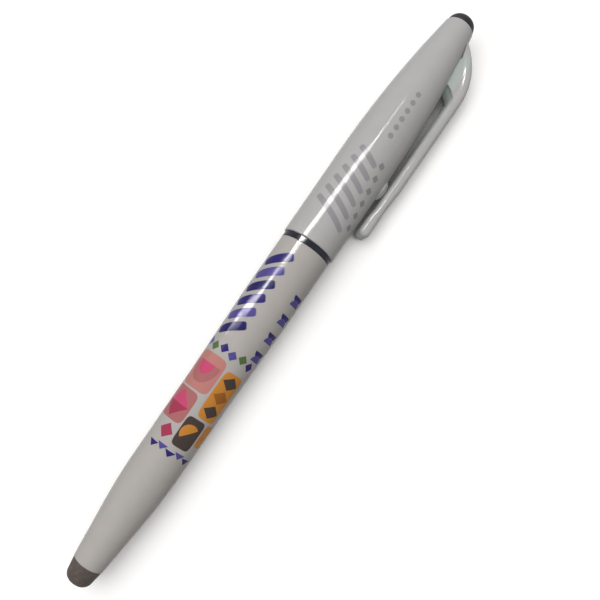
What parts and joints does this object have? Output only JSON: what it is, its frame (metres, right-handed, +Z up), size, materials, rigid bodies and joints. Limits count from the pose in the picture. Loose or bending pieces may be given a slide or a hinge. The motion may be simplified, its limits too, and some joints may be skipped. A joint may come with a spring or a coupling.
{
  "type": "capped gel pen with eraser end",
  "caption": "Slim capped gel pen with a moulded pocket clip on a tapering cap, a dark joint ring, a tapering barrel and a soft eraser dome at the rear.",
  "frame": {"origin": "on the pen's axis at the barrel's front face, where the dark joint ring begins", "axes": "+X along the pen towards the cap's plug, +Z up. The pen lies on its side: the cap's round side and the clip's outer corner touch the surface, and the clip points to -Y and down"},
  "size_m": [0.1442, 0.0152, 0.0122],
  "materials": {
    "white_plastic": "gloss",
    "dark_plastic": "satin",
    "eraser_rubber": "matte",
    "inner_plastic": "satin",
    "seal_rubber": "matte",
    "section_plastic": "satin",
    "grip_rubber": "matte",
    "tube_plastic": "satin",
    "ink": "satin",
    "grease": "satin",
    "tail_plastic": "satin",
    "tip_steel": "satin"
  },
  "bodies": {
    "barrel_body": {"barrel": "white_plastic", "joint_ring": "dark_plastic", "front_section": "section_plastic", "grip_sleeve": "grip_rubber", "nose_cone": "section_plastic", "refill_tube": "tube_plastic", "ink_column": "ink", "follower": "grease", "tail_plug": "tail_plastic", "tip_holder": "tube_plastic", "tip_socket": "tip_steel", "eraser": "eraser_rubber"},
    "cap_body": {"cap_shell": "white_plastic", "cap_plug": "dark_plastic", "inner_cap": "inner_plastic", "tip_seal": "seal_rubber"},
    "ball_body": {"writing_ball": "tip_steel"}
  },
  "joints": [
    {"name": "cap_pull", "type": "slide", "parent": "barrel_body", "child": "cap_body", "axis": [1, 0, 0], "range_m": [0, 0.055]},
    {"name": "ball_roll", "type": "hinge", "parent": "barrel_body", "child": "ball_body", "pos_m": [0.04215, 0, 0], "axis": [0, 1, 0], "continuous": true}
  ]
}
